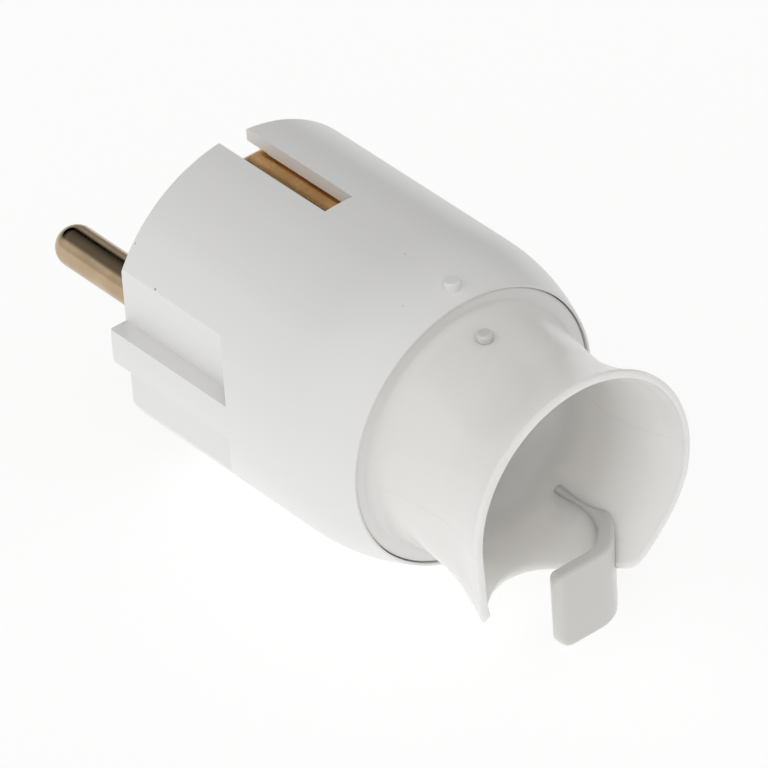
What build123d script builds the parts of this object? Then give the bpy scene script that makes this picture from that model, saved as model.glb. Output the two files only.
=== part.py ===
"""Rewireable mains plug, 16 A, two pins and earth, with a twist-on cable cap.

The plug lies along X. The origin is the centre of the flat front face that meets the socket, +X runs
back towards the cable, the two pins point to -X on the Y axis, and +Z is the side of the upper earth
contact. All sizes are in millimetres.
"""

import os
from math import cos, exp, radians, sin, sqrt

from build123d import *

os.makedirs("parts", exist_ok=True)

# Pins and earth contacts, to the standard for this plug
pin_pitch = 19.0
pin_d = 4.8
pin_length = 18.8
pin_hole_gap = 0.2
close_gap = 0.05
earth_hole_z = 10.0
earth_bore_d = 5.0
slot_width = 3.78
slot_length = 17.55

# Body shell
body_r = 18.1
body_length = 37.66
shoulder_length = 9.66
shoulder_arc_r = 24.0
front_wall = 2.4
body_wall = 1.7
flat_depth = 2.26
flat_wall = 1.6
flat_end_x = 16.45
flat_ramp = 1.3
rib_width = 4.12
front_edge_r = 0.3
mark_d = 1.8
mark_proud = 0.75
mark_sink = 1.0
mark_edge_r = 0.25
mark_setback = 2.06

# Bayonet between the body and the cap
mouth_inset = 2.26
mouth_gap = 0.1
ledge_height = 0.84
ledge_setback = 4.96
ledge_thickness = 2.4
spigot_gap = 0.08
axial_play = 0.15
lug_length = 1.7
lug_height = 1.1
lug_tip_gap = 0.18
lug_half_angle = 16.0
entry_extra_angle = 3.0
stop_angle = 6.0
stop_gap_angle = 1.0
stop_overlap = 0.2
stop_wall_overlap = 0.3
lug_overlap = 0.5
quarter_turn = 90.0

# Cable cap: skirt, flange, trumpet, cut-out and hook
cap_wall = 1.4
rim_wall = 1.0
flange_thickness = 2.25
flange_band = 1.3
flange_edge_r = 0.15
throat_step = 0.14
collar_fillet = 1.3
collar_rise = 0.44
neck_draw = 1.35
neck_power = 1.4
neck_setback = 9.34
rim_flare = 1.85
flare_power = 1.7
outlet_length = 17.44
section_points = 30
trumpet_shares = (0.0, 0.034, 0.142, 0.3125, 0.483, 0.653, 0.824)
spout_angle = -53.0
spout_spread = 17.0
spout_height = 2.1
spout_length = 14.1
spout_cut_side = 3.4
spout_cut_tip = 1.0
spout_cut_flare = 1.4
spout_cut_overlap = 0.6
lip_nose_r = 0.9
cutout_roof = 3.0
cutout_flare = 2.5
cutter_margin = 3.0
arch_points = [(-0.8, 7.0), (-3.9, 3.4), (-6.8, 1.4), (-8.5, -2.6), (-5.6, -8.1)]
hook_route = [(-13.1, 7.5), (-5.4, 7.15), (-1.15, 3.3), (-1.15, -4.0)]
hook_radii = [6.0, 4.0]
hook_thickness = 1.7
hook_clearance = 0.1
hook_height = 9.5
hook_top_fall = 0.9
hook_toe_setback = 9.1
hook_heel_setback = 11.5
hook_heel_rise = 5.8
hook_tip_top_r = 1.1
hook_tip_low_r = 2.0
cap_mark_setback = 3.6
cap_mark_turn = 2.4

# Contact block
block_gap = 0.2
block_length = 17.8
block_floor = 6.6
pocket_gap = 0.15

# Pins and their terminals
pin_neck_d = 4.4
pin_root_gap = 0.1
pin_tip_r = 2.35
pin_head_side_wall = 0.89
pin_head_edge = 0.6
pin_head_height = 8.0
pin_head_length = 9.0
wire_hole_d = 3.2
wire_hole_depth = 7.5
terminal_screw_d = 3.5
terminal_screw_lift = 5.6
screw_head_d = 5.6
screw_head_height = 2.2
screw_head_edge = 0.4
screw_gap = 0.03
screw_point = 0.35
screw_end_gap = 0.6
screw_end_room = 0.5
head_overlap = 0.1
driver_slot = 0.9
driver_slot_depth = 1.1

# Earth strip, sleeve and terminal
strap_width = 6.5
strap_thickness = 1.0
strap_setback = 2.1
strap_front_x = 0.6
strap_end_drop = 2.0
strap_nose_r = 1.4
strap_fold_r = 0.9
sleeve_wall = 0.9
sleeve_tail_d = 3.0
sleeve_slit = 0.5
sleeve_slit_length = 9.0
sleeve_end_wall = 1.8
rivet_height = 0.6
rivet_overlap = 0.7
spring_thickness = 0.5
spring_width = 2.5
spring_setback = 3.5
spring_mouth = 1.0
spring_end_room = 1.0
earth_screw_z = -4.0
earth_screw_depth = 4.0
washer_side = 6.4
washer_thickness = 0.9

# Cord clamp
clamp_setback = 6.8
clamp_length = 9.0
saddle_clearance = 0.35
saddle_depth = 6.4
arm_inner_y = 4.6
arm_width = 5.0
arm_thickness = 2.2
clamp_bar_thickness = 2.6
clamp_arch_thickness = 2.0
clamp_arch_gap = 0.05
clamp_bar_gap = 0.8
clamp_screw_d = 3.0
clamp_screw_setback = 2.8
clamp_screw_hole_gap = 0.1
clamp_nut_side = 4.6
clamp_nut_thickness = 1.8

# Places that follow from the sizes above
straight_length = body_length - shoulder_length
cavity_r = body_r - body_wall
flat_y = body_r - flat_depth
slab_y = flat_y - flat_wall
block_half_y = slab_y - block_gap
mouth_r = body_r - mouth_inset
ledge_r = mouth_r - ledge_height
ledge_front_x = body_length - ledge_setback
ledge_rear_x = ledge_front_x + ledge_thickness
lug_r = ledge_r + lug_height
mark_x = body_length - mark_setback
lug_angles = (0.0, 180.0)
lug_rear_x = ledge_front_x - axial_play
flange_front_x = ledge_rear_x + axial_play
flange_rear_x = flange_front_x + flange_thickness
flange_r = mouth_r - mouth_gap
band_inner_r = flange_r - flange_band
spigot_r = ledge_r - spigot_gap
skirt_inner_r = band_inner_r - cap_wall - throat_step
collar_r = band_inner_r - collar_rise
neck_r = collar_r - neck_draw
neck_x = body_length + neck_setback
rim_r = neck_r + rim_flare
mouth_x = body_length + outlet_length
spout_start_x = mouth_x - spout_length
cap_mark_x = flange_rear_x + cap_mark_setback
hook_bottom_z = hook_clearance - body_r
trumpet_stations = [flange_rear_x + share * (mouth_x - flange_rear_x) for share in trumpet_shares]
block_rear_x = front_wall + block_length
skirt_front_x = block_rear_x + strap_thickness + axial_play
pin_head_x = front_wall + block_floor
pin_head_width = 2 * (block_half_y - pin_head_side_wall - pocket_gap) - pin_pitch
terminal_screw_x = pin_head_x + pin_head_length / 2
strap_outer_z = body_r - strap_setback
channel_z = strap_outer_z - strap_thickness - strap_fold_r + strap_thickness / 2
sleeve_r = earth_bore_d / 2 + sleeve_wall
sleeve_bore_end_x = block_rear_x - sleeve_end_wall
sleeve_slit_end_x = front_wall + sleeve_slit_length
spring_x = front_wall + spring_setback
spring_r = sleeve_r + spring_thickness
spring_hole_end_x = spring_x + spring_width + spring_end_room
earth_screw_tip_x = block_rear_x - earth_screw_depth
clamp_front_x = block_rear_x + clamp_setback
clamp_screw_x = clamp_front_x + clamp_length / 2
saddle_half_y = sqrt((skirt_inner_r - saddle_clearance) ** 2 - saddle_depth**2)
saddle_bottom_z = -saddle_depth
clamp_screw_y = saddle_half_y - clamp_screw_setback
clamp_head_z = clamp_bar_gap / 2 + clamp_bar_thickness
clamp_arch_half = clamp_screw_y - screw_head_d / 2 - clamp_arch_gap
clamp_arch_r = sqrt(clamp_arch_half**2 + clamp_head_z**2)
cord_r = clamp_arch_r - clamp_arch_thickness


def along_x(x, y=0.0, z=0.0):
    """A plane at x whose normal is +X, with its own x axis along +Y and its y axis along +Z."""
    return Plane(origin=(x, y, z), x_dir=(0, 1, 0), z_dir=(1, 0, 0))


def rod(radius, x0, x1, y=0.0, z=0.0):
    """A round bar along X from x0 to x1."""
    return extrude(along_x(x0, y, z) * Circle(radius), x1 - x0)


def block(x0, x1, y0, y1, z0, z1):
    """A box between two corners."""
    centre = ((x0 + x1) / 2, (y0 + y1) / 2, (z0 + z1) / 2)
    return Pos(*centre) * Box(x1 - x0, y1 - y0, z1 - z0)


def upright(radius, x, y, z0, z1):
    """A round bar along Z from z0 to z1."""
    return Pos(x, y, (z0 + z1) / 2) * Cylinder(radius, z1 - z0)


def sector(inner_r, outer_r, x0, x1, centre, half_angle):
    """A piece of a ring about X, centred on an angle measured from +Y towards +Z."""
    low, high = radians(centre - half_angle), radians(centre + half_angle)
    middle = radians(centre)
    arcs = []
    for r in (inner_r, outer_r):
        ends = [(r * cos(a), r * sin(a)) for a in (low, middle, high)]
        arcs.append(ThreePointArc(*ends))
    sides = [Line(arcs[0] @ t, arcs[1] @ t) for t in (0, 1)]
    face = make_face(Wire([*[a.edge() for a in arcs], *[s.edge() for s in sides]]))
    return extrude(along_x(x0) * face, x1 - x0)


def shoulder_r(x):
    """The body's outer radius at x."""
    if x <= straight_length:
        return body_r
    drop = sqrt(shoulder_arc_r**2 - (x - straight_length) ** 2)
    return body_r - shoulder_arc_r + drop


def index_mark(x, surface_r):
    """A small round peg that shows where the cap locks."""
    mark = upright(mark_d / 2, x, 0, surface_r - mark_sink, surface_r + mark_proud)
    top_edge = mark.edges().filter_by(GeomType.CIRCLE).sort_by(Axis.Z)[-1]
    return fillet(top_edge, mark_edge_r)


def make_body():
    """The moulded outer shell: a cylinder with flats and ribs, drawn in at the shoulder."""
    mid_x = (straight_length + body_length) / 2
    edge = Polyline((body_length, 0), (0, 0), (0, body_r), (straight_length, body_r))
    arc = ThreePointArc((straight_length, body_r), (mid_x, shoulder_r(mid_x)),
                        (body_length, shoulder_r(body_length)))
    rim = Line((body_length, shoulder_r(body_length)), (body_length, 0))
    body = revolve(make_face(edge + arc + rim), Axis.X)
    front_rim = body.edges().filter_by(GeomType.CIRCLE).sort_by(Axis.X)[0]
    body = fillet(front_rim, front_edge_r)

    # Flats on both sides, run out by a ramp, with the guide rib left standing
    ramp_end = flat_end_x + flat_ramp * (body_r + 1 - flat_y)
    for side in (-1, 1):
        plan = Polyline((-1, side * flat_y), (flat_end_x, side * flat_y), (ramp_end, side * (body_r + 1)),
                        (-1, side * (body_r + 1)), close=True)
        flat = extrude(make_face(plan), body_r, both=True)
        rib = block(-2, ramp_end + 1, -body_r - 2, body_r + 2, -rib_width / 2, rib_width / 2)
        body -= flat - rib

    # Hollow: slab-sided where the flats are, then round, then the ledge and the mouth
    slab_end = flat_end_x + flat_ramp * (body_r - flat_y)
    slab = block(front_wall, slab_end, -slab_y, slab_y, -body_r, body_r)
    body -= rod(cavity_r, front_wall, slab_end) & slab
    body -= rod(cavity_r, slab_end, ledge_front_x)
    body -= rod(ledge_r, ledge_front_x - 1, ledge_rear_x + 1)
    body -= rod(mouth_r, ledge_rear_x, body_length + 1)
    for angle in lug_angles:
        body -= sector(ledge_r - 1, lug_r + lug_tip_gap, ledge_front_x - 0.5, ledge_rear_x + 0.5,
                       angle + quarter_turn, lug_half_angle + entry_extra_angle)
        locked_edge = angle - lug_half_angle - stop_gap_angle
        open_edge = angle + quarter_turn + lug_half_angle + stop_gap_angle
        for centre in (locked_edge - stop_angle / 2, open_edge + stop_angle / 2):
            body += sector(ledge_r + stop_overlap, cavity_r + stop_wall_overlap,
                           ledge_front_x - lug_length - axial_play, ledge_front_x + stop_overlap,
                           centre, stop_angle / 2)

    # Slots for the side earth contacts, and the wider notch where each contact dips behind the front face
    for side in (-1, 1):
        low, high = sorted((side * (strap_outer_z - strap_end_drop), side * (body_r + 1)))
        body -= block(-1, slot_length, -slot_width / 2, slot_width / 2, low, high)
        low, high = sorted((side * (strap_outer_z - strap_end_drop), side * cavity_r))
        reach = strap_width / 2 + block_gap
        body -= block(-1, front_wall + 1, -reach, reach, low, high)

    # Holes in the front face
    for side in (-1, 1):
        body -= rod(pin_d / 2 + pin_hole_gap, -1, front_wall + 1, side * pin_pitch / 2)
    body -= rod(earth_bore_d / 2, -1, front_wall + 1, 0, earth_hole_z)
    return body + index_mark(mark_x, shoulder_r(mark_x))


def cap_outer_r(x):
    """The trumpet's outer radius: it draws in from the flange to the neck, then flares to the rim."""
    if x < neck_x:
        share = (neck_x - x) / (neck_x - flange_rear_x)
        fillet_share = max(0.0, 1 - (x - flange_rear_x) / collar_fillet)
        return neck_r + neck_draw * share**neck_power + collar_rise * fillet_share**2
    return neck_r + rim_flare * ((x - neck_x) / (mouth_x - neck_x)) ** flare_power


def spout_rise(x, angle):
    """How far the spout stands out, at an angle from 6 o'clock, positive towards +Y."""
    along = min(1.0, max(0.0, (x - spout_start_x) / (mouth_x - spout_start_x)))
    across = (angle - spout_angle) / spout_spread
    return spout_height * sin(radians(90 * along)) * exp(-(across**2))


def trumpet_section(x, inset):
    """One cross-section of the trumpet, a closed smooth curve at x."""
    points = []
    for step in range(section_points):
        angle = -180 + 360 * step / section_points
        r = cap_outer_r(x) + spout_rise(x, angle) - inset
        points.append((r * sin(radians(angle)), -r * cos(radians(angle))))
    return along_x(x) * make_face(Spline(*points, periodic=True))


def make_trumpet(inset, x_to, end_inset):
    """The trumpet's solid form from inside the flange to x_to, smaller by the inset all round."""
    return loft([*[trumpet_section(x, inset) for x in trumpet_stations], trumpet_section(x_to, end_inset)])


def make_hook():
    """The cord hook: an upright strip that runs back along the wall and curls across behind the cord."""
    route = [(mouth_x + x, y) for x, y in hook_route]
    path = FilletPolyline(*route, radius=hook_radii)
    strip = extrude(trace(path, hook_thickness), hook_height)
    strip = Pos(0, 0, hook_bottom_z) * strip
    start_x, low_z = route[0][0] - cutter_margin, hook_bottom_z - cutter_margin
    toe = Vector(mouth_x - hook_toe_setback, hook_bottom_z)
    heel = Vector(mouth_x - hook_heel_setback, hook_bottom_z + hook_heel_rise)
    past_toe = toe + (toe - heel) * (cutter_margin / hook_heel_rise)
    root = Polyline((start_x, low_z), (past_toe.X, past_toe.Y), (heel.X, heel.Y), (start_x, heel.Y),
                    close=True)
    high_z = hook_bottom_z + hook_height
    top = Polyline((mouth_x, high_z), (start_x, high_z - hook_top_fall), (start_x, high_z + cutter_margin),
                   (mouth_x, high_z + cutter_margin), close=True)
    for outline in (root, top):
        strip -= extrude(Plane.XZ * make_face(outline), body_r, both=True)
    for height_order, radius in ((0, hook_tip_low_r), (-1, hook_tip_top_r)):
        tip = strip.faces().filter_by(Axis.Y).sort_by(Axis.Y)[0]
        corner = tip.edges().filter_by(Axis.Z, reverse=True).sort_by(Axis.Z)[height_order]
        strip = fillet(corner, radius)
    return strip


def make_cutout():
    """The notch in the lower wall of the mouth, as one upright cutter and one along the spout."""
    arch = Spline(*[(mouth_x + x, y) for x, y in arch_points])
    right, left = arch @ 0, arch @ 1
    past = mouth_x + cutter_margin
    sides = Polyline((left.X, left.Y), (past, left.Y - cutout_flare), (past, right.Y + cutout_flare),
                     (right.X, right.Y))
    low = extrude(Pos(0, 0, -2 * body_r) * make_face(arch + sides), 2 * body_r - cutout_roof)

    # The cutter along the spout, drawn flat on a plane that faces the spout
    turn = radians(spout_angle)
    facing = Plane(origin=(0, 0, 0), x_dir=(1, 0, 0), z_dir=(0, sin(turn), -cos(turn)))
    lip = Polyline((left.X - spout_cut_overlap, -spout_cut_side), (mouth_x - lip_nose_r, spout_cut_tip),
                   (past, spout_cut_tip + spout_cut_flare), (past, -3 * spout_cut_side), close=True)
    spout_cut = extrude(facing * make_face(lip), 2 * body_r)
    return low, spout_cut


def make_cap():
    """The cable cap, one moulding: skirt with lugs, flange, trumpet, cut-out and hook."""
    flange = rod(flange_r, flange_front_x, flange_rear_x)
    rear_edge = flange.edges().filter_by(GeomType.CIRCLE).sort_by(Axis.X)[-1]
    cap = rod(spigot_r, skirt_front_x, flange_front_x) + fillet(rear_edge, flange_edge_r)
    cap -= rod(skirt_inner_r, skirt_front_x - 1, flange_rear_x + 1)
    cap += make_trumpet(0, mouth_x, 0) - make_trumpet(cap_wall, mouth_x + 1, rim_wall)
    for cutter in make_cutout():
        cap -= cutter
    cap += make_hook()
    for angle in lug_angles:
        cap += sector(spigot_r - lug_overlap, lug_r, lug_rear_x - lug_length, lug_rear_x, angle,
                      lug_half_angle)
    return cap + Rot(cap_mark_turn, 0, 0) * index_mark(cap_mark_x, cap_outer_r(cap_mark_x))


def block_outline(x0, x1):
    """The contact block's outer form: round, with flat sides where the body's are."""
    round_form = rod(cavity_r - block_gap, x0, x1)
    return round_form & block(x0, x1, -block_half_y, block_half_y, -body_r, body_r)


def make_block():
    """The insulating block: pin holes, terminal pockets, earth channels and the cord saddle."""
    part = block_outline(front_wall, block_rear_x)
    reach = strap_width / 2 + block_gap
    for side in (-1, 1):
        y = side * pin_pitch / 2
        part -= rod(pin_d / 2 + pin_hole_gap, front_wall - 1, block_rear_x, y)
        half_w = pin_head_width / 2 + pocket_gap
        half_h = pin_head_height / 2 + pocket_gap
        part -= block(pin_head_x, block_rear_x + 1, y - half_w, y + half_w, -half_h, half_h)
        half_slot = screw_head_d / 2 + block_gap
        part -= block(terminal_screw_x - half_slot, block_rear_x + 1, y - half_slot, y + half_slot,
                      0, cavity_r)
        low, high = sorted((side * channel_z, side * (cavity_r + 1)))
        part -= block(front_wall - 1, block_rear_x + 1, -reach, reach, low, high)
    part -= rod(spring_r + block_gap, front_wall - 1, spring_hole_end_x, 0, earth_hole_z)
    part -= rod(sleeve_r + close_gap, front_wall, block_rear_x + 1, 0, earth_hole_z)
    part -= rod(terminal_screw_d / 2 + close_gap, earth_screw_tip_x - screw_end_room, block_rear_x + 1, 0,
                earth_screw_z)

    # Two arms reach back to the saddle under the cord
    saddle_top = -clamp_bar_gap / 2
    for side in (-1, 1):
        low, high = sorted((side * arm_inner_y, side * (arm_inner_y + arm_width)))
        part += block(block_rear_x - 1, clamp_front_x + 1, low, high, saddle_bottom_z,
                      saddle_bottom_z + arm_thickness)
    saddle = block(clamp_front_x, clamp_front_x + clamp_length, -saddle_half_y, saddle_half_y,
                   saddle_bottom_z, saddle_top)
    saddle -= rod(cord_r, clamp_front_x - 1, clamp_front_x + clamp_length + 1)
    for side in (-1, 1):
        y = side * clamp_screw_y
        saddle -= upright(clamp_screw_d / 2 + close_gap, clamp_screw_x, y, saddle_bottom_z - 1, 0)
        half = clamp_nut_side / 2 + close_gap
        saddle -= block(clamp_screw_x - half, clamp_screw_x + half, y - half, y + half,
                        saddle_bottom_z - 1, saddle_bottom_z + clamp_nut_thickness)
    return part + saddle


def make_pin(side):
    """A solid brass pin: domed tip, shank, slimmer neck and a drilled terminal head."""
    y = side * pin_pitch / 2
    tip = rod(pin_d / 2, -pin_length, -pin_root_gap, y)
    tip_edge = tip.edges().filter_by(GeomType.CIRCLE).sort_by(Axis.X)[0]
    pin = fillet(tip_edge, pin_tip_r)
    pin += rod(pin_neck_d / 2, -pin_root_gap, pin_head_x + 1, y)
    half_w, half_h = pin_head_width / 2, pin_head_height / 2
    head = block(pin_head_x, pin_head_x + pin_head_length, y - half_w, y + half_w, -half_h, half_h)
    pin += chamfer(head.edges().filter_by(Axis.X), pin_head_edge)
    pin -= rod(wire_hole_d / 2, pin_head_x + pin_head_length - wire_hole_depth,
               pin_head_x + pin_head_length + 1, y)
    return pin - upright(terminal_screw_d / 2, terminal_screw_x, y, 0, half_h + 1)


def slotted_screw(shank_d, shank_length):
    """A cheese-head screw with its head's underside at the origin, pointing down -Z."""
    head = Pos(0, 0, screw_head_height / 2) * Cylinder(screw_head_d / 2, screw_head_height)
    top_edge = head.edges().filter_by(GeomType.CIRCLE).sort_by(Axis.Z)[-1]
    head = fillet(top_edge, screw_head_edge)
    head -= block(-screw_head_d, screw_head_d, -driver_slot / 2, driver_slot / 2,
                  screw_head_height - driver_slot_depth, screw_head_height + 1)
    shank = upright(shank_d / 2 - screw_gap, 0, 0, -shank_length, head_overlap)
    end_edge = shank.edges().filter_by(GeomType.CIRCLE).sort_by(Axis.Z)[0]
    return head + chamfer(end_edge, screw_point)


def make_terminal_screw(side):
    """The screw that closes a pin's wire hole from above."""
    screw = slotted_screw(terminal_screw_d, terminal_screw_lift - screw_end_gap)
    return Pos(terminal_screw_x, side * pin_pitch / 2, terminal_screw_lift) * screw


def make_earth_screw():
    """The screw that holds the earth wire against the strap, from behind."""
    under = block_rear_x + strap_thickness + washer_thickness
    screw = slotted_screw(terminal_screw_d, under - earth_screw_tip_x)
    return Pos(under, 0, earth_screw_z) * Rot(0, 90, 0) * screw


def make_earth_washer():
    """The square clamping washer under the earth screw's head."""
    x = block_rear_x + strap_thickness
    half = washer_side / 2
    plate = block(x, x + washer_thickness, -half, half, earth_screw_z - half, earth_screw_z + half)
    return plate - rod(terminal_screw_d / 2 + close_gap, x - 1, x + 2, 0, earth_screw_z)


def make_earth_bow():
    """One folded brass strip: both side contacts and the bar that joins them across the block."""
    mid_z = strap_outer_z - strap_thickness / 2
    front_x = strap_front_x + strap_thickness / 2
    rear_x = block_rear_x + strap_thickness / 2
    end_z = strap_outer_z - strap_end_drop
    path = FilletPolyline((front_x, end_z), (front_x, mid_z), (rear_x, mid_z), (rear_x, -mid_z),
                          (front_x, -mid_z), (front_x, -end_z),
                          radius=[strap_nose_r, strap_fold_r, strap_fold_r, strap_nose_r])
    strip = extrude(Plane.XZ * trace(path, strap_thickness), strap_width / 2, both=True)
    strip -= rod(sleeve_tail_d / 2, block_rear_x - 1, block_rear_x + 2, 0, earth_hole_z)
    return strip - rod(terminal_screw_d / 2 + close_gap, block_rear_x - 1, block_rear_x + 2, 0,
                       earth_screw_z)


def make_earth_sleeve():
    """The tube that takes a socket's earth pin, slit at its mouth and riveted to the strip."""
    z = earth_hole_z
    sleeve = rod(sleeve_r, front_wall, block_rear_x, 0, z)
    sleeve += rod(sleeve_tail_d / 2, block_rear_x, block_rear_x + strap_thickness, 0, z)
    sleeve += rod(sleeve_tail_d / 2 + rivet_overlap, block_rear_x + strap_thickness,
                  block_rear_x + strap_thickness + rivet_height, 0, z)
    sleeve -= rod(earth_bore_d / 2, front_wall - 1, sleeve_bore_end_x, 0, z)
    half = sleeve_slit / 2
    slit = block(front_wall - 1, sleeve_slit_end_x, -sleeve_r - 1, sleeve_r + 1, z - half, z + half)
    return sleeve - slit


def make_sleeve_spring():
    """The open steel ring that keeps the slit sleeve tight."""
    x = spring_x
    ring = rod(spring_r, x, x + spring_width, 0, earth_hole_z)
    ring -= rod(sleeve_r, x - 1, x + spring_width + 1, 0, earth_hole_z)
    return ring - block(x - 1, x + spring_width + 1, -spring_mouth / 2, spring_mouth / 2,
                        earth_hole_z, earth_hole_z + spring_r + 1)


def make_clamp_bar():
    """The arched bar that presses the cord down on the saddle."""
    x0, x1 = clamp_front_x, clamp_front_x + clamp_length
    low = clamp_bar_gap / 2
    upper_half = block(x0, x1, -saddle_half_y, saddle_half_y, low, body_r)
    arch = rod(clamp_arch_r, x0, x1) & upper_half
    ears = block(x0, x1, -saddle_half_y, saddle_half_y, low, low + clamp_bar_thickness)
    bar = arch + ears - rod(cord_r, x0 - 1, x1 + 1)
    for side in (-1, 1):
        hole_r = clamp_screw_d / 2 + clamp_screw_hole_gap
        bar -= upright(hole_r, clamp_screw_x, side * clamp_screw_y, 0, body_r)
    return bar


def make_clamp_screw(side):
    """A screw that draws the bar down, through the saddle and into its nut."""
    screw = slotted_screw(clamp_screw_d, clamp_head_z + saddle_depth - screw_end_gap)
    return Pos(clamp_screw_x, side * clamp_screw_y, clamp_head_z) * screw


def make_clamp_nut(side):
    """The square nut held in the underside of the saddle."""
    half = clamp_nut_side / 2
    y = side * clamp_screw_y
    top = saddle_bottom_z + clamp_nut_thickness
    nut = block(clamp_screw_x - half, clamp_screw_x + half, y - half, y + half, saddle_bottom_z, top)
    return nut - upright(clamp_screw_d / 2, clamp_screw_x, y, saddle_bottom_z - 1, top + 1)


parts = {
    "plug_body": make_body,
    "cable_cap": make_cap,
    "contact_block": make_block,
    "live_pin": lambda: make_pin(-1),
    "neutral_pin": lambda: make_pin(1),
    "live_terminal_screw": lambda: make_terminal_screw(-1),
    "neutral_terminal_screw": lambda: make_terminal_screw(1),
    "earth_bow": make_earth_bow,
    "earth_sleeve": make_earth_sleeve,
    "earth_sleeve_spring": make_sleeve_spring,
    "earth_terminal_screw": make_earth_screw,
    "earth_wire_washer": make_earth_washer,
    "cord_clamp_bar": make_clamp_bar,
    "cord_clamp_screw_left": lambda: make_clamp_screw(-1),
    "cord_clamp_screw_right": lambda: make_clamp_screw(1),
    "cord_clamp_nut_left": lambda: make_clamp_nut(-1),
    "cord_clamp_nut_right": lambda: make_clamp_nut(1),
}

for name, make in parts.items():
    export_step(make(), f"parts/{name}.step")
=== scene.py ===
"""The looks of a rewireable mains plug: its cable cap, finishes, floor, light and camera.

The shape functions work in millimetres in the CAD's frame: the plug lies along X, its front face is at
x = 0, +X runs back towards the cable and +Z is up. Angles on the cap are in degrees from 6 o'clock,
positive towards +Y. Meshes go into Blender in metres.
"""

import bpy
import numpy as np
from mathutils import Matrix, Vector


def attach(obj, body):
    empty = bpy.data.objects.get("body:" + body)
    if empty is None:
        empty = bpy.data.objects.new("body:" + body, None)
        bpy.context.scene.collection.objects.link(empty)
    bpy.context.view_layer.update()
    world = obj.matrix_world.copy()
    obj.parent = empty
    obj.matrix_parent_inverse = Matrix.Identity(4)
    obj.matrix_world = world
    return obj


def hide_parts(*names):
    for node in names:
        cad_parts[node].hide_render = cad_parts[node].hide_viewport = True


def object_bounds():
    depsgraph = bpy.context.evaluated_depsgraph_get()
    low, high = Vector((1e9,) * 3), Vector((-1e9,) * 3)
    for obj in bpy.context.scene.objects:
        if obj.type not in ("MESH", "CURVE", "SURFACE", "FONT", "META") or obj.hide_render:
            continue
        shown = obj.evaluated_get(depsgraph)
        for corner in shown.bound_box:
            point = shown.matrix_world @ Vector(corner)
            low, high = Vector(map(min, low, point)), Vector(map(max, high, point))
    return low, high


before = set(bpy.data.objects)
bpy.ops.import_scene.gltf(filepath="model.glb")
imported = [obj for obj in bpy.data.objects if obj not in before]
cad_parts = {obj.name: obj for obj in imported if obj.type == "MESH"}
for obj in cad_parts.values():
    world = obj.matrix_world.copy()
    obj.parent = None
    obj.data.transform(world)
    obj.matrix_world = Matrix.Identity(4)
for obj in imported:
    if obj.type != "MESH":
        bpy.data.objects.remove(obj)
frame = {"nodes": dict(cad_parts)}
cad_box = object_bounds()
nodes = frame["nodes"]
MM = 0.001

# The cap's sizes, as in the CAD
WALL = 1.4
SKIRT_FRONT, SKIRT_R, SKIRT_BORE = 21.35, 14.92, 12.90
FLANGE_FRONT, FLANGE_REAR, FLANGE_R, BAND_INNER_R = 35.25, 37.5, 15.74, 14.44
COLLAR_R, COLLAR_FILLET, NECK_R, NECK_X = 14.0, 1.3, 12.65, 47.0
RIM_R, MOUTH_X = 14.5, 55.1
FALL_POWER, FLARE_POWER = 1.4, 1.7
SPOUT_ANGLE, SPOUT_SPREAD, SPOUT_HEIGHT, SPOUT_START = -53.0, 17.0, 2.1, 41.0
LUG_R, LUG_FRONT, LUG_REAR, LUG_HALF_ANGLE = 16.1, 30.85, 32.55, 16.0
HOOK_ROUTE = [(42.0, 7.5), (49.7, 7.15), (53.95, 3.3), (53.95, -4.0)]
HOOK_RADII = [6.0, 4.0]
HOOK_THICKNESS, HOOK_BOTTOM = 1.7, -18.0
HOOK_TOP = [(39.0, -9.4), (55.1, -8.5)]
HOOK_ROOT = [(43.6, -12.2), (46.0, HOOK_BOTTOM)]
HOOK_TIP_TOP_R, HOOK_TIP_LOW_R = 1.1, 2.0
PEG_X, PEG_TOP, PEG_R, PEG_TURN, PEG_DEPTH = 41.1, 14.09, 0.9, 2.4, 1.7

# The inside: a throat with a hole for the cord, in front of it the skirt's bore, behind it the bell
THROAT_X, THROAT_R, THROAT_CORNER_R = 41.0, 11.85, 3.6
CORD_HOLE_R, CORD_HOLE_REAR, CORD_HOLE_FRONT = 6.5, 37.3, 36.3

# Where the wall thins from its own thickness to that of its lip, and by which power of the way
THIN_START, THIN_END, THIN_POWER = 44.0, 53.1, 1.5

# The wall's thickness at its end, as (angle, thickness)
LIP_WALL = [
    (-180, 1.0), (-70, 1.0), (-58, 1.15), (-51, 1.0), (-42, 0.6), (-30, 0.5), (5, 0.5), (17, 0.9),
    (27, 1.0), (40, 0.85), (70, 0.7), (110, 0.75), (150, 0.95), (180, 1.0),
]

# Where the trumpet's wall ends, as (angle, x): the plain rim, the spout's flank, the arch, the right flank
CUT_EDGE = [
    (-68, 55.1), (-62, 55.1), (-58.5, 55.05), (-56.6, 54.6), (-55.2, 53.9), (-53, 53.1), (-50, 52.2),
    (-46, 51.2), (-42, 50.3), (-38, 49.6), (-33, 49.0), (-26, 48.3), (-18, 47.8), (-11, 47.7), (-4, 48.1),
    (2, 49.0), (7, 50.0), (12, 51.0), (16, 51.9), (20, 52.8), (23, 53.7), (25.5, 54.4), (28.5, 54.75),
    (33, 54.8), (42, 54.75), (52, 54.8), (63, 54.95), (75, 55.1),
]


# Shapes


def unit(vectors):
    """The vectors at length 1."""
    return vectors / np.linalg.norm(vectors, axis=-1, keepdims=True)


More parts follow.
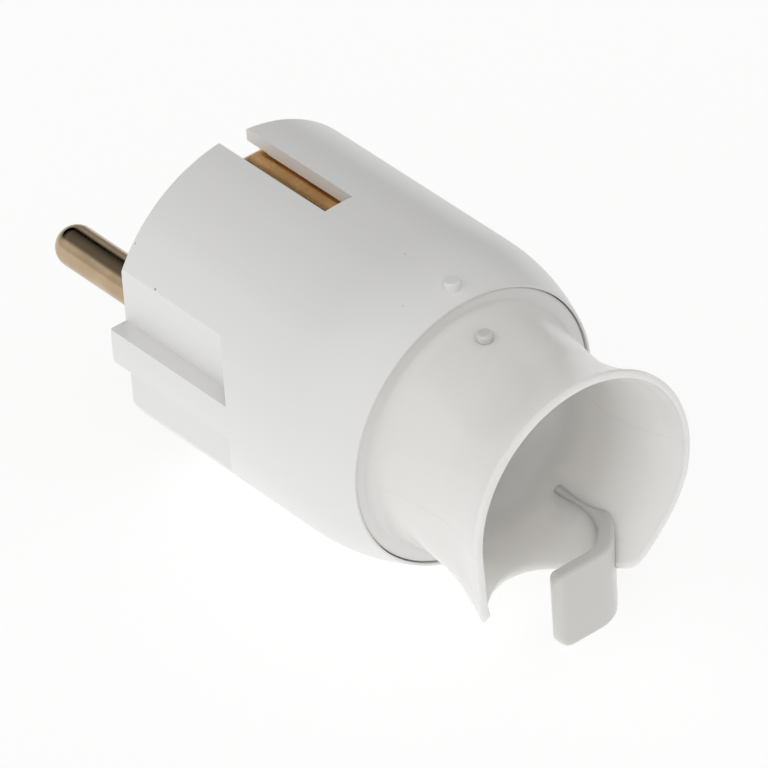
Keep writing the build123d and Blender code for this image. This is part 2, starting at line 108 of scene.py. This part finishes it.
def rounded_route(corners, radii, step):
    """Points along straight runs whose corners are arcs. An arc leaves each run at its radius over the
    tangent of half the corner's angle, and its points are evenly spaced in angle."""
    corners = np.array(corners, float)
    pieces, start = [], corners[0]
    for before, corner, after, radius in zip(corners, corners[1:], corners[2:], radii):
        a, b = unit(before - corner), unit(after - corner)
        half = np.arccos(np.clip(a @ b, -1, 1)) / 2
        reach, turn = radius / np.tan(half), np.pi - 2 * half
        middle = corner + unit(a + b) * radius / np.sin(half)
        first, last = corner + a * reach, corner + b * reach
        count = max(2, int(np.linalg.norm(first - start) / step))
        pieces.append(np.linspace(start, first, count)[:-1])
        share = np.linspace(0, 1, max(4, int(radius * turn / step)))[:, None]
        arms = (first - middle) * np.sin((1 - share) * turn) + (last - middle) * np.sin(share * turn)
        pieces.append((middle + arms / np.sin(turn))[:-1])
        start = last
    count = max(2, int(np.linalg.norm(corners[-1] - start) / step))
    return np.concatenate([*pieces, np.linspace(start, corners[-1], count)])


def around(x, radius, angle):
    """Points at x, radius and angle, with x, y, z along the last axis."""
    a = np.radians(angle)
    return np.stack(np.broadcast_arrays(x, radius * np.sin(a), -radius * np.cos(a)), axis=-1)


def spout_rise(x, angle):
    """How far the spout stands out: a bell curve over the angle, which grows as a sine along x."""
    along = np.clip((x - SPOUT_START) / (MOUTH_X - SPOUT_START), 0, 1)
    return SPOUT_HEIGHT * np.sin(np.pi / 2 * along) * np.exp(-(((angle - SPOUT_ANGLE) / SPOUT_SPREAD) ** 2))


def trumpet_radius(x, angle):
    """The trumpet's outer radius. Before the neck it falls as a power of the distance to the neck, with a
    squared fillet at the flange; after it, it grows as a power up to the rim. The spout is added."""
    fall = np.clip((NECK_X - x) / (NECK_X - FLANGE_REAR), 0, None) ** FALL_POWER
    fillet = np.clip(1 - (x - FLANGE_REAR) / COLLAR_FILLET, 0, None) ** 2
    flare = np.clip((x - NECK_X) / (MOUTH_X - NECK_X), 0, None) ** FLARE_POWER
    round_form = NECK_R + (COLLAR_R - NECK_R) * fall + (BAND_INNER_R - COLLAR_R) * fillet
    return round_form + (RIM_R - NECK_R) * flare + spout_rise(x, angle)


def cut_edge(columns):
    """The wall's end as angles and x, evenly spaced along its own length. The stated points are joined,
    blurred by a short bell so that no corner is left, and stepped by arc length. The bell is counted in
    steps of a twentieth of a degree."""
    turns, bell_width, bell_reach = 7200, 24.0, 60
    fine = np.linspace(-180, 180, turns + 1)
    known = np.array([(-180, MOUTH_X), *CUT_EDGE, (180, MOUTH_X)], float)
    x = np.interp(fine, known[:, 0], known[:, 1])
    bell = np.exp(-((np.arange(-bell_reach, bell_reach + 1) / bell_width) ** 2))
    x = np.convolve(np.pad(x[:-1], bell_reach, mode="wrap"), bell / bell.sum(), mode="valid")
    x = np.append(x, x[0])
    length = np.append(0, np.cumsum(np.hypot(np.diff(x), np.radians(np.diff(fine)) * RIM_R)))
    wanted = np.linspace(0, length[-1], columns + 1)[:-1]
    return np.interp(wanted, length, fine), np.interp(wanted, length, x)


def grid_faces(rows, columns, close_rows=False):
    """Quads that join a grid of points. Columns always close round; rows do where asked."""
    r, c = np.meshgrid(np.arange(rows if close_rows else rows - 1), np.arange(columns), indexing="ij")
    r2, c2 = (r + 1) % rows, (c + 1) % columns
    quads = [r * columns + c, r * columns + c2, r2 * columns + c2, r2 * columns + c]
    return np.stack(quads, -1).reshape(-1, 4)


def inner_radius(x, angle, lip_wall):
    """The radius inside the outlet. From the neck forwards it widens to the throat as half a cosine wave.
    From the neck back it keeps the wall's thickness, which falls to that of the lip as a power of the
    way."""
    widen = (1 - np.cos(np.pi * np.clip((NECK_X - x) / (NECK_X - THROAT_X), 0, 1))) / 2
    back = np.clip((x - NECK_X) / (MOUTH_X - NECK_X), 0, None)
    straight = NECK_R - WALL + (THROAT_R - NECK_R + WALL) * widen
    thinner = (WALL - lip_wall) * np.clip((x - THIN_START) / (THIN_END - THIN_START), 0, 1) ** THIN_POWER
    return straight + (RIM_R - NECK_R) * back**FLARE_POWER + spout_rise(x, angle) + thinner


def cap_shell():
    """The cap's main surface, closed on itself. Its rows run from the throat through the cord hole and the
    skirt's bore, round the skirt's front, the flange and the outside of the trumpet, over the lip and back
    along the inside. Each column leads from an even angle at the flange to its place on the wall's end."""
    columns, wall_rows, lip_rows, route_step = 400, 56, 13, 0.6
    lip_depth, lip_start, lip_power, row_bunching = 0.4, 0.6, 0.6, 0.12
    throat_gap, band_gap, skirt_tolerance = 0.05, 0.02, 0.1
    edge_angle, edge_x = cut_edge(columns)
    root_angle = np.linspace(-180, 180, columns + 1)[:-1]
    lip_wall = np.interp(edge_angle, *np.array(LIP_WALL).T)

    # Throat, skirt and flange, the same all round but for the lugs
    skirt = rounded_route(
        [(THROAT_X - throat_gap, THROAT_R), (CORD_HOLE_REAR, THROAT_R), (CORD_HOLE_REAR, CORD_HOLE_R),
         (CORD_HOLE_FRONT, CORD_HOLE_R), (CORD_HOLE_FRONT, SKIRT_BORE), (SKIRT_FRONT, SKIRT_BORE),
         (SKIRT_FRONT, SKIRT_R), (FLANGE_FRONT, SKIRT_R), (FLANGE_FRONT, FLANGE_R), (FLANGE_REAR, FLANGE_R),
         (FLANGE_REAR, BAND_INNER_R + band_gap)],
        [THROAT_CORNER_R, 0.4, 0.4, 0.6, 0.3, 0.3, 0.1, 0.15, 0.28], route_step)
    x, r = skirt[:, :1], skirt[:, 1:]
    off_side = np.degrees(np.arcsin(np.abs(np.cos(np.radians(root_angle)))))
    lug = np.clip(LUG_HALF_ANGLE - off_side, 0, 1)
    lug = lug * ((x > LUG_FRONT) & (x < LUG_REAR) & (np.abs(r - SKIRT_R) < skirt_tolerance))
    turned = around(x + 0 * root_angle, r + (LUG_R - SKIRT_R) * lug, root_angle)

    # Trumpet, outside and inside, drawn back at its end by the depth of the lip
    t = np.linspace(0, 1, wall_rows)[:, None]
    t = t - row_bunching * np.sin(2 * np.pi * t) / (2 * np.pi)
    angle = (1 - t) * root_angle + t * edge_angle
    x = FLANGE_REAR + (edge_x - FLANGE_REAR) * t
    outer_edge = around(edge_x, trumpet_radius(edge_x, edge_angle), edge_angle)
    inner_edge = around(edge_x, inner_radius(edge_x, edge_angle, lip_wall), edge_angle)
    middle, across = (outer_edge + inner_edge) / 2, (outer_edge - inner_edge) / 2
    free = unit(np.cross(across, np.roll(middle, -1, 0) - np.roll(middle, 1, 0)))
    drawn = free * (np.clip((t - lip_start) / (1 - lip_start), 0, 1) ** 3 * lip_depth)[:, :, None]
    outside = around(x, trumpet_radius(x, angle), angle) - drawn
    x = THROAT_X + (edge_x - THROAT_X) * t
    inside = around(x, inner_radius(x, angle, lip_wall), angle) - drawn

    # Lip: a squarish half round, square to the wall and to its end
    phi = np.linspace(0, np.pi, lip_rows + 2)[1:-1][:, None, None]
    up = np.sign(np.cos(phi)) * np.abs(np.cos(phi)) ** lip_power
    lip = middle + across * up + free * (np.sin(phi) ** lip_power - 1) * lip_depth
    points = np.concatenate([turned, outside[1:], lip, inside[::-1]])
    return points.reshape(-1, 3), grid_faces(len(points), columns, close_rows=True).tolist()


def hook_shell():
    """The cord hook: a rounded rectangle carried along its plan route. At the free end its height and its
    thickness shrink as quarter circles, and at the root its lower edge rises along a slope."""
    edge_r, half_thick = 0.38, HOOK_THICKNESS / 2
    route_step, ring_step, tip_rings, corner_points, end_gap = 0.1, 0.25, 30, 8, 0.01
    route = rounded_route(HOOK_ROUTE, HOOK_RADII, route_step)
    run = np.append(0, np.cumsum(np.linalg.norm(np.diff(route, axis=0), axis=-1)))
    near = HOOK_TIP_LOW_R * (1 - np.sin(np.linspace(0, np.pi / 2, tip_rings)))
    stops = np.concatenate([np.arange(0, run[-1] - HOOK_TIP_LOW_R, ring_step), run[-1] - near])
    route = np.stack([np.interp(stops, run, route[:, k]) for k in range(2)], -1)
    along = unit(np.gradient(route, axis=0))
    side = np.stack([-along[:, 1], along[:, 0]], -1)
    left = run[-1] - stops + end_gap

    def rounding(radius):
        """How far a quarter circle of that radius has drawn in at the distance left to the free end."""
        return radius - np.sqrt(radius**2 - np.clip(radius - left, 0, radius) ** 2)

    low = np.interp(route[:, 0], *np.array(HOOK_ROOT).T) + rounding(HOOK_TIP_LOW_R)
    top = np.interp(route[:, 0], *np.array(HOOK_TOP).T) - rounding(HOOK_TIP_TOP_R)
    half = (half_thick - rounding(half_thick))[:, None]
    quarter = np.linspace(0, np.pi / 2, corner_points)
    ring = np.concatenate([quarter, quarter + np.pi / 2, quarter + np.pi, quarter + 3 * np.pi / 2])
    over = np.repeat([1, -1, -1, 1], corner_points)
    above = np.repeat([1, 1, -1, -1], corner_points)
    edge = np.minimum(edge_r, half)
    across = over * (half - edge) + np.cos(ring) * edge
    high = np.where(above > 0, top[:, None] - edge, low[:, None] + edge) + np.sin(ring) * edge
    plan = route[:, None, :] + side[:, None, :] * across[:, :, None]
    return capped_tube(np.concatenate([plan, high[:, :, None]], -1))


def capped_tube(points):
    """A tube of rings, closed at both ends by a fan of triangles round the ring's centre."""
    rows, columns = points.shape[:2]
    centres = points[[0, -1]].mean(1)
    flat = np.concatenate([points.reshape(-1, 3), centres])
    here = np.arange(columns)
    after = (here + 1) % columns
    first = np.stack([after, here, 0 * here + rows * columns], -1)
    base = (rows - 1) * columns
    last = np.stack([base + here, base + after, 0 * here + rows * columns + 1], -1)
    return flat, [*grid_faces(rows, columns).tolist(), *first.tolist(), *last.tolist()]


def peg_shell():
    """The index peg: a round bar that stands on the cap, turned a little about X. Its profile has a rounded
    top edge and a slightly domed top."""
    edge_r, dome, centre_r, route_step, columns = 0.3, 0.03, 0.02, 0.06, 64
    corners = [(PEG_R, PEG_TOP - PEG_DEPTH), (PEG_R, PEG_TOP), (centre_r, PEG_TOP + dome)]
    profile = rounded_route(corners, [edge_r], route_step)
    turn = np.linspace(0, 2 * np.pi, columns + 1)[:-1]
    r, high = profile[:, :1], profile[:, 1:]
    x, y, z = PEG_X + r * np.cos(turn), r * np.sin(turn), high + 0 * turn
    tilt = np.radians(PEG_TURN)
    y, z = y * np.cos(tilt) - z * np.sin(tilt), y * np.sin(tilt) + z * np.cos(tilt)
    return capped_tube(np.stack([x, y, z], -1))


def solid_piece(name, points, faces):
    """One object at the origin from a closed shell, turned so that its volume is positive."""
    faces = [list(face) for face in faces]
    tri = np.array([f[:3] for f in faces] + [[f[0], f[2], f[3]] for f in faces if len(f) == 4])
    a, b, c = (points[tri[:, k]] for k in range(3))
    if (a * np.cross(b, c)).sum() < 0:
        faces = [f[::-1] for f in faces]
    mesh = bpy.data.meshes.new(name)
    mesh.from_pydata((points * MM).tolist(), [], faces)
    mesh.shade_smooth()
    mesh.update()
    piece = bpy.data.objects.new(name, mesh)
    bpy.context.scene.collection.objects.link(piece)
    return piece


# Finishes

PLASTIC_IOR, BEVEL_SAMPLES, RELIEF_STRENGTH, SPOT_SHARPNESS = 1.5, 8, 0.4, 3.0

# Small dark marks, as (centre, size, strength)
BODY_SPECKS = [
    ((5.6, -15.84, 9.0), 0.2, 0.9), ((0.5, -14.1, 11.4), 0.13, 0.5),
    ((29.23, -0.87, 18.05), 0.13, 0.3), ((34.22, -5.48, 16.39), 0.12, 0.2),
]
CAP_SPECKS = [((45.1, -7.9, 10.6), 0.16, 0.7), ((52.2, -7.5, 10.9), 0.2, 1.0)]

# The scratch on the hook: its middle, how far it leans, its width and its reach
SCRATCH_MIDDLE, SCRATCH_LEAN, SCRATCH_WIDTH, SCRATCH_REACH = (53.6, -1.0, -13.0), 0.3, 0.05, 1.7


class Wire:
    """A node's output that adds Math nodes when it is used in an expression."""

    def __init__(self, nodes, socket):
        self.nodes, self.socket = nodes, socket

    def _math(self, operation, *values):
        return self.nodes.add("ShaderNodeMath", {"operation": operation}, dict(enumerate(values)))

    def __add__(self, other):
        return self._math("ADD", self, other)

    def __sub__(self, other):
        return self._math("SUBTRACT", self, other)

    def __rsub__(self, other):
        return self._math("SUBTRACT", other, self)

    def __mul__(self, other):
        return self._math("MULTIPLY", self, other)

    def __truediv__(self, other):
        return self._math("DIVIDE", self, other)

    __radd__, __rmul__ = __add__, __mul__

    def held(self):
        """Held between 0 and 1."""
        return self.nodes.add("ShaderNodeClamp", {}, {0: self})

    def bell(self, centre, width):
        """1 at the centre, and falling off as a bell curve of the stated width."""
        gap = (self - centre) / width
        return self._math("EXPONENT", gap * gap * -1.0)


class Nodes:
    """A node tree, emptied, that gives its outputs as Wires."""

    def __init__(self, tree):
        self.tree = tree
        tree.nodes.clear()

    def add(self, kind, settings, sockets, output=0):
        """A node of that type: its settings are made first, then its sockets are set or linked. It gives
        back one output, or the node itself where output is None."""
        made = self.tree.nodes.new(kind)
        for name, value in settings.items():
            setattr(made, name, value)
        for key, value in sockets.items():
            if isinstance(value, Wire):
                self.tree.links.new(value.socket, made.inputs[key])
            else:
                made.inputs[key].default_value = value
        return made if output is None else Wire(self, made.outputs[output])

    def parts(self, vector):
        """The x, y and z of a vector."""
        split = self.add("ShaderNodeSeparateXYZ", {}, {0: vector}, None)
        return (Wire(self, split.outputs[k]) for k in range(3))

    def tint(self, mask, low, high):
        """A colour between two, by the mask."""
        ends = {"Factor": mask, "A": colour(low), "B": colour(high)}
        return self.add("ShaderNodeMix", {"data_type": "RGBA"}, ends, 2)


class Finish(Nodes):
    """A material's nodes, with its shader and the piece's own coordinates in millimetres."""

    def __init__(self, name, **constants):
        self.material = bpy.data.materials.new(name)
        self.material.use_nodes = True
        super().__init__(self.material.node_tree)
        self.shader = self.add("ShaderNodeBsdfPrincipled", {}, {}, None)
        for socket, value in constants.items():
            self.shader.inputs[socket.replace("_", " ")].default_value = value
        shaded = Wire(self, self.shader.outputs[0])
        self.result = self.add("ShaderNodeOutputMaterial", {}, {0: shaded}, None)
        metres = self.add("ShaderNodeTexCoord", {}, {}, "Object")
        self.place = self.add("ShaderNodeVectorMath", {"operation": "SCALE"}, {0: metres, "Scale": 1 / MM})
        self.x, self.y, self.z = self.parts(self.place)

    def noise(self, scale, detail=2.0, stretch=(1.0, 1.0, 1.0)):
        """Noise over the piece, with scale as its features per millimetre."""
        where = self.add("ShaderNodeMapping", {}, {"Vector": self.place, "Scale": stretch})
        return self.add("ShaderNodeTexNoise", {}, {"Vector": where, "Scale": scale, "Detail": detail})

    def own_normal(self):
        """The normal of the mesh itself."""
        return self.add("ShaderNodeNewGeometry", {}, {}, "Normal")

    def rounded_edges(self, radius):
        """A normal that rounds the piece's edges by that many millimetres."""
        return self.add("ShaderNodeBevel", {"samples": BEVEL_SAMPLES}, {"Radius": radius * MM})

    def relief(self, height, millimetres, normal):
        """A normal raised by a height between 0 and 1, worth that many millimetres."""
        sockets = {"Strength": RELIEF_STRENGTH, "Distance": millimetres * MM, "Height": height,
                   "Normal": normal}
        return self.add("ShaderNodeBump", {}, sockets)

    def spot(self, centre, size):
        """1 at a point and 0 from the stated distance on, with a soft edge."""
        gap = self.add("ShaderNodeVectorMath", {"operation": "DISTANCE"}, {0: self.place, 1: centre}, 1)
        return ((1 - gap / size) * SPOT_SHARPNESS).held()

    def spots(self, places):
        """Several spots as one mask, each with its centre, size and strength."""
        total = 0.0
        for centre, size, strength in places:
            total = self.spot(centre, size) * strength + total
        return total.held()

    def hairline(self, across, width, middle, reach):
        """A thin line where across is 0, faded out at the stated distance from its middle."""
        return across.bell(0.0, width) * self.spot(middle, reach)

    def solid_where(self, mask, **links):
        """Where the mask is 1, no light soaks in: a plain shader, fed by the same links, takes over."""
        sockets = {name.replace("_", " "): value for name, value in links.items()}
        solid = self.add("ShaderNodeBsdfPrincipled", {}, {"IOR": PLASTIC_IOR, **sockets}, "BSDF")
        both = {0: mask, 1: Wire(self, self.shader.outputs[0]), 2: solid}
        mixed = self.add("ShaderNodeMixShader", {}, both)
        self.tree.links.new(mixed.socket, self.result.inputs[0])
        return self.feed(**links)

    def feed(self, **links):
        """Links varying values to the shader."""
        for socket, value in links.items():
            self.tree.links.new(value.socket, self.shader.inputs[socket.replace("_", " ")])
        return self.material


def colour(value):
    """A colour as four numbers, or a link left as it is."""
    return value if isinstance(value, Wire) else (*value, 1.0)


def body_finish():
    """The body's shell: neutral white, with a broken mould line along its top, painted lighter as a
    highlight on its ridge, and a few dark specks.
    """
    f = Finish("body_white", IOR=PLASTIC_IOR)
    line_y, line_width, line_start_x, line_low_z = -0.1, 0.08, 17.6, 15.5
    cloud, skin = f.noise(0.05, 3.0), f.noise(0.3, 2.0)
    along = f.x.bell(28.9, 1.2) * 0.8 + f.x.bell(33.2, 1.2) + f.x.bell(19.4, 1.4) * 0.5 + 0.08
    top_only = (f.z - line_low_z).held()
    line = f.y.bell(line_y, line_width) * top_only * along * (f.x - line_start_x).held()
    white = f.tint(cloud, (0.835, 0.833, 0.828), (0.850, 0.849, 0.846))
    # The mould line's ridge is a real bump; its lighter colour is a painted highlight along the ridge.
    line_with_highlight = f.tint(line * 0.5, white, (0.95, 0.94, 0.92))
    shown = f.tint(f.spots(BODY_SPECKS), line_with_highlight, (0.12, 0.10, 0.085))
    normal = f.relief(line, 0.06, f.own_normal())
    return f.feed(Base_Color=shown, Roughness=skin * 0.05 + 0.285, Normal=normal)


def cap_finish(name, low, high, depth, first_milky_x):
    """The cap: milky, so that light soaks through its wall by the stated depth, with the mould's parting
    line level with the axis, small dark marks and a scratch on the hook. Its front is too thick for light
    to soak through: that fades in over the stretch before the stated x."""
    fade_length, parting_width, parting_start_x = 5.0, 0.06, 37.8
    f = Finish(name, IOR=PLASTIC_IOR, Subsurface_Weight=1.0, Subsurface_Radius=(1.0, 0.97, 0.92),
               Subsurface_Scale=depth * MM)
    cloud, skin = f.noise(0.05, 3.0), f.noise(0.3, 2.0)
    parting = f.z.bell(0.0, parting_width) * (f.x - parting_start_x).held()
    across = (f.x - SCRATCH_MIDDLE[0]) + (f.z - SCRATCH_MIDDLE[2]) * SCRATCH_LEAN
    scratch = f.hairline(across, SCRATCH_WIDTH, SCRATCH_MIDDLE, SCRATCH_REACH)
    white = f.tint(cloud, low, high)
    marked = f.tint((parting * 0.05 + scratch * 0.5).held(), white, (0.36, 0.33, 0.30))
    shown = f.tint(f.spots(CAP_SPECKS), marked, (0.16, 0.13, 0.11))
    normal = f.relief(parting, 0.05, f.rounded_edges(0.25))
    thick = ((first_milky_x - f.x) / fade_length).held()
    return f.solid_where(thick, Base_Color=shown, Roughness=skin * 0.06 + 0.2, Normal=normal)


def brass_finish(name, bright, dull, roughness):
    """Drawn brass: fine lines along the part, a patchy tarnish that dulls it, and rounded edges."""
    f = Finish(name, Metallic=1.0)
    drawn, tarnish = f.noise(3.0, 3.0, stretch=(0.05, 1.0, 1.0)), f.noise(0.45, 5.0)
    shown = f.tint((tarnish * 1.8 - 0.5).held(), bright, dull)
    normal = f.relief(drawn, 0.02, f.rounded_edges(0.15))
    return f.feed(Base_Color=shown, Roughness=tarnish * 0.10 + drawn * 0.06 + roughness, Normal=normal)


def steel_finish():
    """Zinc-plated steel: cool grey, faintly blotched."""
    f = Finish("plated_steel", Metallic=1.0)
    blotch = f.noise(0.8, 4.0)
    return f.feed(Base_Color=f.tint(blotch, (0.55, 0.55, 0.53), (0.70, 0.69, 0.66)),
                  Roughness=blotch * 0.2 + 0.25, Normal=f.rounded_edges(0.12))


def block_finish():
    """The insulating block: pale, matt, with a fine mould texture."""
    f = Finish("block_pale", IOR=PLASTIC_IOR)
    grain = f.noise(4.0, 3.0)
    return f.feed(Base_Color=f.tint(f.noise(0.2), (0.77, 0.76, 0.73), (0.80, 0.79, 0.76)),
                  Roughness=grain * 0.15 + 0.5, Normal=f.relief(grain, 0.02, f.rounded_edges(0.15)))


def dress(names, material):
    """Gives a material to CAD nodes through their slots."""
    for name in names:
        for slot in nodes[name].material_slots:
            slot.material = material


body_white = body_finish()
cap_milky = cap_finish("cap_milky", (0.815, 0.806, 0.790), (0.835, 0.827, 0.812),
                       depth=2.0, first_milky_x=43.0)
hook_milky = cap_finish("hook_milky", (0.702, 0.692, 0.672), (0.722, 0.713, 0.694),
                        depth=0.5, first_milky_x=30.0)
pin_brass = brass_finish("pin_brass", (0.53, 0.41, 0.27), (0.42, 0.30, 0.18), roughness=0.14)
strip_brass = brass_finish("strip_brass", (0.80, 0.52, 0.24), (0.62, 0.36, 0.14), roughness=0.2)
dress(["plug_body"], body_white)
dress(["live_pin", "neutral_pin", "earth_sleeve"], pin_brass)
dress(["earth_bow"], strip_brass)
dress(["contact_block", "cord_clamp_bar"], block_finish())
dress([n for n in nodes if "screw" in n or "nut" in n or n in ("earth_wire_washer", "earth_sleeve_spring")],
      steel_finish())

# The cap in three pieces, so that each scatters light on its own
CAP_PIECES = [
    ("cap_outlet", cap_shell(), cap_milky),
    ("cap_hook", hook_shell(), hook_milky),
    ("cap_index_peg", peg_shell(), hook_milky),
]
for name, shell, finish in CAP_PIECES:
    piece = solid_piece(name, *shell)
    piece.data.materials.append(finish)
    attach(piece, "cap")
    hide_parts("cable_cap")


# Floor, light and camera


def make_floor():
    """A white floor under the plug's lowest line. It glows like a light table, so little shadow shows."""
    half, z = 6.0, cad_box[0].z
    corners = [(-half, -half, z), (half, -half, z), (half, half, z), (-half, half, z)]
    mesh = bpy.data.meshes.new("floor")
    mesh.from_pydata(corners, [], [(0, 1, 2, 3)])
    floor = bpy.data.objects.new("floor", mesh)
    bpy.context.scene.collection.objects.link(floor)
    f = Finish("floor_white", Roughness=0.9, Emission_Strength=0.80)
    cloud = f.noise(0.01)
    paper = f.tint(cloud, (0.25, 0.25, 0.25), (0.26, 0.26, 0.26))
    glow = f.tint(cloud, (1.0, 1.0, 1.0), (0.99, 0.99, 0.99))
    floor.data.materials.append(f.feed(Base_Color=paper, Emission_Color=glow))


def make_softbox(turn, lift, distance, width, height, radiance):
    """A rectangular soft light that faces the plug from a compass direction and a height, in degrees. Its
    power is its radiance times its area times pi."""
    plug_middle_x = 30 * MM
    turn, lift = np.radians([turn, lift])
    away = np.array([np.cos(turn) * np.cos(lift), np.sin(turn) * np.cos(lift), np.sin(lift)])
    data = bpy.data.lights.new("side_softbox", "AREA")
    data.shape, data.size, data.size_y = "RECTANGLE", width, height
    data.energy = radiance * width * height * np.pi
    light = bpy.data.objects.new("side_softbox", data)
    right = unit(np.cross([0, 0, 1.0], away))
    place = np.eye(4)
    place[:3, 0], place[:3, 1], place[:3, 2] = right, np.cross(away, right), away
    place[:3, 3] = away * distance + np.array([plug_middle_x, 0, 0])
    light.matrix_world = Matrix(place.tolist())
    bpy.context.scene.collection.objects.link(light)


def make_world():
    """Pale studio walls, brighter overhead, towards -Y and, a little, towards the pins. A dark screen hangs
    over the pins: its edge is soft, where the direction leaves a cone round the screen's middle."""
    base, overhead, to_side, to_pins = 0.35, 0.72, 0.29, 0.09
    screen_middle, screen_edge, screen_softness, screen_dark = (-0.68, -0.02, 0.733), 0.78, 0.1, 0.8
    world = bpy.data.worlds.new("studio")
    world.use_nodes = True
    n = Nodes(world.node_tree)
    direction = n.add("ShaderNodeTexCoord", {}, {}, "Generated")
    x, y, z = n.parts(direction)
    ends = {0: direction, 1: screen_middle}
    towards = n.add("ShaderNodeVectorMath", {"operation": "DOT_PRODUCT"}, ends, 1)
    screen = ((towards - screen_edge) / screen_softness).held()
    strength = z * overhead + base - y * to_side - x * to_pins - screen * screen_dark
    shade = n.add("ShaderNodeBackground", {}, {0: (1.0, 0.995, 0.985, 1.0), 1: strength})
    n.add("ShaderNodeOutputWorld", {}, {0: shade}, None)
    bpy.context.scene.world = world


def make_camera():
    """The photograph's camera, placed and turned by a pinhole fit to the plug's circles and pins."""
    data = bpy.data.cameras.new("camera")
    focal_pixels, photo_pixels, sensor = 9268.3, 768, 36.0
    data.sensor_width, data.lens = sensor, focal_pixels / photo_pixels * sensor
    data.clip_start, data.clip_end = 0.05, 30.0
    camera = bpy.data.objects.new("camera", data)
    place = np.eye(4)
    place[:3, 0] = (0.64195005, 0.76449144, -0.05876193)
    place[:3, 1] = (-0.42489988, 0.4184908, 0.80269891)
    place[:3, 2] = (0.63824778, -0.49032467, 0.59348251)
    place[:3, 3] = (0.641567, -0.475238, 0.572850)
    camera.matrix_world = Matrix(place.tolist())
    bpy.context.scene.collection.objects.link(camera)
    bpy.context.scene.camera = camera


make_floor()
make_world()
make_softbox(turn=-90, lift=28, distance=0.7, width=0.75, height=0.6, radiance=0.1)
make_camera()
bpy.context.scene.view_settings.view_transform = "Standard"
